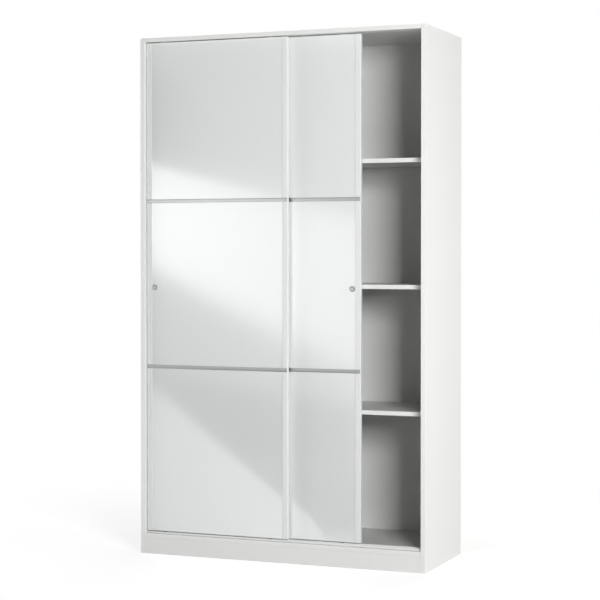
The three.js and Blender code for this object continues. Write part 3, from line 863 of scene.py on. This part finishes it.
def build_door_frame(door):
    heights = {}
    for level in ("lower", "upper"):
        low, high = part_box(f"{door}_{level}_bar")
        heights[level] = (low.z + high.z) / 2
    for hand in HANDS:
        build_stile(door, hand, heights.values())
    for level, height in heights.items():
        build_bar(door, level, height)
    for row in ("bottom", "middle", "top"):
        NODES[f"{door}_{row}_panel"].data.materials[0] = GLOSS[door]


def build_finger_pull(door):
    """A turned cup with a thin rolled flange, let into the panel."""
    node = f"{door}_finger_pull"
    low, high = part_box(node)
    centre = ((low.x + high.x) / 2, low.y, (low.z + high.z) / 2)
    cup = [(0, 10.0), (6.9, 10.0), (8.0, 9.75), (8.8, 9.1), (9.25, 8.1), (9.4, 7.0), (9.45, 1.2)]
    rim = [(9.62, 0.62), (10.0, 0.24), (10.5, 0.06), (11.0, 0.0), (11.5, 0.08), (11.85, 0.35), (12.0, 0.8)]
    outside = [(10.7, 0.85), (10.7, 11.0), (10.3, 11.2), (0, 11.2)]
    pull = turned(f"{node}_cup", cup + rim + outside, centre, "y", 64, smooth=40)
    fit(pull, door, "satin_metal", SILVER_PULL, stands_for=[node])


# Running gear. A carriage is let into the foot of the door with its wheel, and a guide into the top.

WHEEL_SPACE = 12.5 * MM
CARRIAGE_RADIUS = 15 * MM
CHEEK = 1.8 * MM
WHEEL_SLOT = 6.6 * MM
SLOT_OVERRUN = 5 * MM
BORE_LENGTH = 60 * MM
BODY_ROUND = 0.4 * MM
DRAWN_ROUND = 0.25 * MM
RIB_START = 4.5 * MM
RIB_END = 7.5 * MM
RIB_HALF_WIDTH = 2.2 * MM
RIB_HALF_THICK = 0.4 * MM
GUIDE_RADIUS = 13 * MM
TONGUE_HALF = 2.5 * MM
TONGUE_REACH = 12 * MM
TONGUE_ROUND = 0.6 * MM
PLATE = 1.2 * MM
PLATE_ROUND = 3 * MM
PLATE_EDGE_ROUND = 0.3 * MM
PLATE_SCREW_EDGE = 6 * MM
PLATE_SCREW_TOP = 1.6 * MM
PLATE_SCREW_CROSS = 3.2 * MM
PLATE_SCREW_CROSS_DEPTH = 1.0 * MM
PLATE_HOLE_RADIUS = 1.8 * MM
AXLE_HOLE_RADIUS = 2.3 * MM
TRACK_SCREWS = 5
TRACK_SCREW_LANE = 6.4 * MM
TRACK_SCREW_PITCH = 250 * MM
TRACK_SCREW_TOP = 0.8 * MM
TRACK_SCREW_CROSS = 3.0 * MM
TRACK_SCREW_CROSS_DEPTH = 0.9 * MM
TRACK_BASE = 2 * MM


def arch_outline(x, edge, centre, radius):
    """A slot with one round end, drawn as Z and X, open at a door's edge."""
    toward = 1 if centre > edge else -1
    return [(edge, x - radius), *arc((centre, x), radius, -0.5, toward - 0.5, 24), (edge, x + radius)]


def plate_outline(low, high, edge, far):
    """A fixing plate with its two far corners rounded, drawn as Z and X."""
    toward = 1 if far > edge else -1
    inner, half_way = far - toward * PLATE_ROUND, (toward - 1) / 2
    left_corner = arc((inner, low.x + PLATE_ROUND), PLATE_ROUND, -0.5, half_way, 6)
    right_corner = arc((inner, high.x - PLATE_ROUND), PLATE_ROUND, half_way, toward - 0.5, 6)
    return [(edge, low.x), *left_corner, *right_corner, (edge, high.x)]


def screw_places(low, high, edge, far):
    return [(x, (edge + far) / 2) for x in (low.x + PLATE_SCREW_EDGE, high.x - PLATE_SCREW_EDGE)]


def fitting_plate(name, low, high, edge, far):
    plate = drawn(f"{name}_plate", plate_outline(low, high, edge, far), "y", high.y - PLATE, high.y)
    softened(plate, PLATE_EDGE_ROUND)
    for x, z in screw_places(low, high, edge, far):
        cut(plate, rod("hole", PLATE_HOLE_RADIUS, (x, high.y, z), "y", 4 * PLATE))
    return plate


def build_carriage(door, hand):
    node = f"{door}_{hand}_carriage"
    low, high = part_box(node)
    x, centre = (low.x + high.x) / 2, high.z - CARRIAGE_RADIUS
    body = drawn(node, arch_outline(x, low.z, centre, CARRIAGE_RADIUS), "y", low.y, high.y - PLATE / 2)
    softened(body, BODY_ROUND)
    slot = arch_outline(x, low.z - SLOT_OVERRUN, centre, WHEEL_SPACE)
    cut(body, drawn("slot", slot, "y", low.y + CHEEK, low.y + CHEEK + WHEEL_SLOT))
    carriage = melted(f"{node}_moulding", body, fitting_plate(node, low, high, low.z, high.z))
    cut(carriage, rod("bore", AXLE_HOLE_RADIUS, (x, low.y, centre), "y", BORE_LENGTH, 32))
    fit(reshaded(carriage), door, "white_plastic", WHITE_PLASTIC, stands_for=[node])


def build_wheel(door, hand):
    """A moulded wheel: a grooved tread, a hub, and six ribs across the dished web between them."""
    node = f"{door}_{hand}_wheel"
    low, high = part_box(node)
    centre = (low + high) / 2
    hub = [(2.2, -2.5), (2.5, -2.8), (4.3, -2.8), (4.6, -2.5)]
    web = [(4.65, -1.1), (4.9, -0.9), (7.0, -0.9), (7.3, -1.1)]
    rim = [(7.4, -2.5), (7.7, -2.8), (10.6, -2.8), (10.95, -2.6), (10.95, -2.35), (10.6, -2.1)]
    groove = [(9.25, -1.45), (9.03, -1.1), (9.0, -0.6)]
    near_half = hub + web + rim + groove
    far_half = [(radius, -along) for radius, along in near_half[::-1]]
    wheel = turned(f"{node}_moulding", near_half + far_half + hub[:1], centre, "y", 72)
    ribs = []
    for step in range(3):
        for side in (-1, 1):
            start, end = sorted((side * RIB_START, side * RIB_END))
            rib = block("rib", centre + Vector((start, -RIB_HALF_WIDTH, -RIB_HALF_THICK)),
                        centre + Vector((end, RIB_HALF_WIDTH, RIB_HALF_THICK)))
            begin_edit(rib)
            bpy.ops.mesh.select_all(action="SELECT")
            bpy.ops.transform.rotate(value=math.pi / 3 * step, orient_axis="Y", center_override=centre)
            ribs.append(leave(rib))
    wheel = melted(f"{node}_moulding", wheel, *ribs)
    fit(reshaded(wheel), node, "dark_plastic", DARK_PLASTIC, stands_for=[node])


def build_axle(door, hand):
    node = f"{door}_{hand}_axle"
    low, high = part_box(node)
    long = (high.y - low.y) / MM
    pin = [(0, 0), (1.6, 0), (2.0, 0.4), (2.0, long - 0.8), (3.2, long - 0.8), (3.4, long - 0.65)]
    head = [(3.35, long - 0.4), (2.9, long - 0.15), (2.0, long - 0.03), (0, long)]
    centre = ((low.x + high.x) / 2, low.y, (low.z + high.z) / 2)
    axle = turned(f"{node}_pin", pin + head, centre, "y", 40)
    fit(axle, door, "bright_steel", ZINC, stands_for=[node])


def build_top_guide(door, hand):
    """A plastic guide: a body let into the panel, its plate, and the tongue that runs in the channel."""
    node = f"{door}_{hand}_top_guide"
    low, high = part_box(node)
    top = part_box(f"{door}_top_panel")[1].z
    x = (low.x + high.x) / 2
    lane = mid_depth(f"{door}_{hand}_wheel")
    centre = low.z + GUIDE_RADIUS
    body = drawn(node, arch_outline(x, top, centre, GUIDE_RADIUS), "y", low.y, high.y - PLATE / 2)
    softened(body, BODY_ROUND)
    straight = TONGUE_REACH - TONGUE_HALF
    right_end = arc((x + straight, lane), TONGUE_HALF, -0.5, 0.5, 16)
    left_end = arc((x - straight, lane), TONGUE_HALF, 0.5, 1.5, 16)
    tongue = drawn("tongue", right_end + left_end, "z", centre, high.z)
    softened(tongue, TONGUE_ROUND, 3)
    guide = melted(f"{node}_moulding", body, tongue, fitting_plate(node, low, high, top, low.z))
    fit(reshaded(guide), door, "white_plastic", WHITE_PLASTIC, stands_for=[node])


def build_plate_screws(door):
    """Pan headed screws through the plates of the carriages and the top guides."""
    places = []
    for hand in HANDS:
        low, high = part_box(f"{door}_{hand}_carriage")
        places += [Vector((x, high.y, z)) for x, z in screw_places(low, high, low.z, high.z)]
        low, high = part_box(f"{door}_{hand}_top_guide")
        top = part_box(f"{door}_top_panel")[1].z
        places += [Vector((x, high.y, z)) for x, z in screw_places(low, high, top, low.z)]
    shank = [(0, -1.4), (1.6, -1.4), (1.6, 0.03)]
    head = [(2.7, 0.03), (2.9, 0.2), (2.8, 0.6), (2.3, 0.95), (1.4, 1.15), (0, 1.2)]
    screw = turned("screw", shank + head, places[0], "y", 32)
    crossing = places[0] + Vector((0, PLATE_SCREW_TOP, 0))
    cut_cross(screw, crossing, "y", PLATE_SCREW_CROSS, PLATE_SCREW_CROSS_DEPTH)
    screws = repeated(screw, f"{door}_plate_screws", [place - places[0] for place in places])
    fit(reshaded(screws), door, "bright_steel", ZINC)


def build_track_screws():
    """Flat headed screws that hold the track down, between its ribs."""
    y = mid_depth("right_door_left_wheel") - TRACK_SCREW_LANE
    x = -TRACK_SCREW_PITCH * (TRACK_SCREWS - 1) / 2
    first = Vector((x, y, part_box("bottom_track")[0].z + TRACK_BASE))
    head = [(0, -1.0), (1.5, -1.0), (2.8, -0.15), (2.8, 0.1), (2.5, 0.22), (0, 0.3)]
    screw = turned("screw", head, first, "z", 32)
    crossing = first + Vector((0, 0, TRACK_SCREW_TOP))
    cut_cross(screw, crossing, "z", TRACK_SCREW_CROSS, TRACK_SCREW_CROSS_DEPTH)
    offsets = [(step * TRACK_SCREW_PITCH, 0, 0) for step in range(TRACK_SCREWS)]
    screws = repeated(screw, "track_screws", offsets)
    fit(reshaded(screws), "cabinet", "bright_steel", ZINC)


def build_moulded_length(node):
    """A track, channel or strip from its CAD node, with every edge rounded as drawn plastic has it."""
    piece = leave(from_cad(f"{node}_moulding", node))
    softened(piece, DRAWN_ROUND)
    fit(piece, "cabinet", "white_plastic", WHITE_PLASTIC, stands_for=[node])


def build_running_gear():
    for node in ("bottom_track", "front_guide_channel", "rear_guide_channel", "back_joint_strip"):
        build_moulded_length(node)
    build_track_screws()
    for door in DOORS:
        for hand in HANDS:
            build_carriage(door, hand)
            build_wheel(door, hand)
            build_axle(door, hand)
            build_top_guide(door, hand)
        build_plate_screws(door)


build_carcass()
build_shelves()
for door in DOORS:
    build_door_frame(door)
    build_finger_pull(door)
build_running_gear()


# Studio: floor, lamps, cards that paint reflections, and the camera

AMBIENT = 0.03
WHITE = (1, 1, 1, 1)
FLOOR_WIDTH = 60
FLOOR_PAINT = (0.50, 0.50, 0.50, 1)
FLOOR_GLOW = 0.66
FADE_START = 0.9
FADE_END = 2.4

CAMERA_PLACE = (2.4715, -6.1201, 1.1715)
CAMERA_TURN = 22.014
CAMERA_DIP = 1.002
CAMERA_LENS = 102.04
CAMERA_SHIFT = -0.03


def bare_nodes(holder, shader):
    """The nodes of a stage material or of the world, without the shader that they start with."""
    nodes = Nodes(holder)
    nodes.tree.nodes.remove(nodes.tree.nodes[shader])
    return nodes


def glowing(nodes, strength, kind="ShaderNodeEmission"):
    """Plain white light, from a surface or from the world's background."""
    return nodes.node(kind, None, {"Color": WHITE, "Strength": strength})


def backdrop_rays(nodes):
    """1 for the rays that meet the white backdrop, and 0 for the rest, which carry the light."""
    seen, mirrored, through = (nodes.node("ShaderNodeLightPath", output=f"Is {kind} Ray")
                               for kind in ("Camera", "Glossy", "Transmission"))
    return seen.maximum(mirrored).maximum(through)


def mixed(nodes, share, first, second):
    return nodes.node("ShaderNodeMixShader", None, {0: share, 1: first, 2: second})


def show(nodes, shader, end="Material Output"):
    nodes.tree.links.new(shader.output, nodes.tree.nodes[end].inputs["Surface"])


def build_floor():
    """A pale floor that keeps the cabinet's shadow near it and turns plain white further out."""
    clear_selection()
    bpy.ops.mesh.primitive_plane_add(size=FLOOR_WIDTH, location=(0, 0, 0))
    floor = named("studio_floor")
    material = bpy.data.materials.new("pale studio floor")
    nodes = bare_nodes(material, "Principled BSDF")
    paint = nodes.node("ShaderNodeBsdfDiffuse", None, {"Color": FLOOR_PAINT})
    lifted = nodes.node("ShaderNodeAddShader", None, {0: paint, 1: glowing(nodes, FLOOR_GLOW)})
    reach = nodes.node("ShaderNodeVectorMath", {"operation": "LENGTH"}, {0: nodes.place()}, 1)
    away = nodes.node("ShaderNodeMapRange", {"interpolation_type": "SMOOTHSTEP"},
                      {"Value": reach, "From Min": FADE_START, "From Max": FADE_END})
    fading = mixed(nodes, away, lifted, glowing(nodes, 1.0))
    show(nodes, mixed(nodes, backdrop_rays(nodes), paint, fading))
    floor.data.materials.append(material)


def build_world():
    world = bpy.data.worlds.new("studio")
    SCENE.world = world
    nodes = bare_nodes(world, "Background")
    ambient, backdrop = (glowing(nodes, strength, "ShaderNodeBackground") for strength in (AMBIENT, 1.0))
    show(nodes, mixed(nodes, backdrop_rays(nodes), ambient, backdrop), "World Output")


def softbox(name, azimuth, distance, height, size, aim, power):
    """A rectangular lamp. Azimuth 0 is straight in front of the cabinet and 90 to its right."""
    light = bpy.data.lights.new(name, "AREA")
    light.shape = "RECTANGLE"
    light.size, light.size_y = size
    light.energy = power
    lamp = bpy.data.objects.new(name, light)
    SCENE.collection.objects.link(lamp)
    turn = math.radians(azimuth)
    lamp.location = (distance * math.sin(turn), -distance * math.cos(turn), height)
    lamp.rotation_euler = (Vector(aim) - lamp.location).to_track_quat("-Z", "Y").to_euler()
    lamp.visible_glossy = False


def painted_reflection_card(name, corners, glow, soft):
    """A lit or dark card that lights nothing and is seen only in reflections: it paints a bright or a dark
    reflection. Its corners are the low left, low right, high left and high right one. Its glow changes from
    left to right. Its left, right, low and high edges fade over the shares of its width and height that
    soft gives."""
    clear_selection()
    bpy.ops.mesh.primitive_plane_add(size=2, location=(0, 0, 0))
    card = named(name)
    begin_edit(card)
    bpy.ops.mesh.select_all(action="SELECT")
    bpy.ops.mesh.subdivide(number_cuts=31)
    leave(card)
    low_left, low_right, high_left, high_right = (Vector(corner) for corner in corners)
    for corner in card.data.vertices:
        across, up = (corner.co.x + 1) / 2, (corner.co.y + 1) / 2
        corner.co = low_left.lerp(low_right, across).lerp(high_left.lerp(high_right, across), up)
    material = bpy.data.materials.new(name)
    nodes = bare_nodes(material, "Principled BSDF")
    sheet = nodes.node("ShaderNodeUVMap")
    across, up = (nodes.node("ShaderNodeSeparateXYZ", None, {0: sheet}, axis) for axis in (0, 1))
    fades = [nodes.node("ShaderNodeMapRange", {"interpolation_type": "SMOOTHERSTEP"},
                        {"Value": inwards, "From Max": width})
             for share, widths in zip((across, up), soft)
             for inwards, width in zip((share, 1 - share), widths)]
    clear = nodes.node("ShaderNodeBsdfTransparent")
    lit = glowing(nodes, glow[0] + (glow[1] - glow[0]) * across)
    show(nodes, mixed(nodes, math.prod(fades), clear, lit))
    card.data.materials.append(material)
    card.visible_camera = False
    card.visible_diffuse = False
    card.visible_shadow = False
    card.visible_transmission = False
    card.visible_volume_scatter = False


def build_camera():
    camera = bpy.data.objects.new("photo_camera", bpy.data.cameras.new("photo_camera"))
    SCENE.collection.objects.link(camera)
    camera.location = CAMERA_PLACE
    camera.rotation_euler = (math.radians(90 - CAMERA_DIP), 0, math.radians(CAMERA_TURN))
    camera.data.lens = CAMERA_LENS
    camera.data.shift_y = CAMERA_SHIFT
    SCENE.camera = camera


build_floor()
build_world()
softbox("front right softbox", azimuth=38.0, distance=5.5, height=2.1, size=(1.5, 1.45),
        aim=(0.1, -0.2, 1.1), power=244)
softbox("right side softbox", azimuth=84, distance=4.2, height=0.7, size=(2.4, 1.3),
        aim=(0.5, 0, 0.7), power=56)
softbox("left side softbox", azimuth=-76, distance=4.2, height=1.4, size=(1.6, 2.4),
        aim=(-0.5, 0, 1.0), power=76)
softbox("rear softbox", azimuth=180, distance=4.2, height=1.8, size=(2.6, 2.4),
        aim=(0, 0.2, 1.0), power=84)
softbox("top softbox", azimuth=180, distance=0.2, height=3.4, size=(1.1, 0.8),
        aim=(0, 0.2, 1.9), power=20)
# Painted reflections: glowing cards that light nothing and show only as bright patches in the gloss of the
# doors
painted_reflection_card("painted bright reflection card", glow=(5.75, 2.3), soft=((0.02, 0.02), (0.29, 0.12)), corners=[
    (-2.10, -3.0, 1.04), (-0.55, -3.0, 0.27), (-2.10, -3.0, 1.75), (-0.55, -3.0, 1.39)])
painted_reflection_card("painted low reflection card", glow=(1.9, 2.5), soft=((0.02, 0.02), (0.04, 0.18)), corners=[
    (-1.15, -0.62, 0.004), (0.03, -0.62, 0.004), (-1.15, -1.2, 0.735), (-0.286, -1.2, 0.008)])
# Painted reflections: dark cards that show only as darker patches in the gloss of the doors
painted_reflection_card("painted dark reflection floor card", glow=(0.2, 0.2), soft=((0.02, 0.05), (0.1, 0.01)), corners=[
    (-0.45, -0.75, 0.002), (0.25, -0.75, 0.002), (-2.4, -3.3, 0.002), (-0.75, -3.3, 0.002)])
painted_reflection_card("painted dark reflection far card", glow=(0, 0), soft=((0.02, 0.05), (0.01, 0.35)), corners=[
    (-2.6, -3.3, 0.002), (-0.8, -3.3, 0.002), (-2.6, -3.3, 0.66), (-0.8, -3.3, 0.36)])
painted_reflection_card("painted dark reflection upper card", glow=(0.3, 0.3), soft=((0.02, 0.5), (0.1, 0.3)), corners=[
    (-2.6, -3.3, 1.52), (-1.65, -3.3, 1.52), (-2.6, -3.3, 2.35), (-1.65, -3.3, 2.35)])
build_camera()

SCENE.view_settings.view_transform = "Standard"
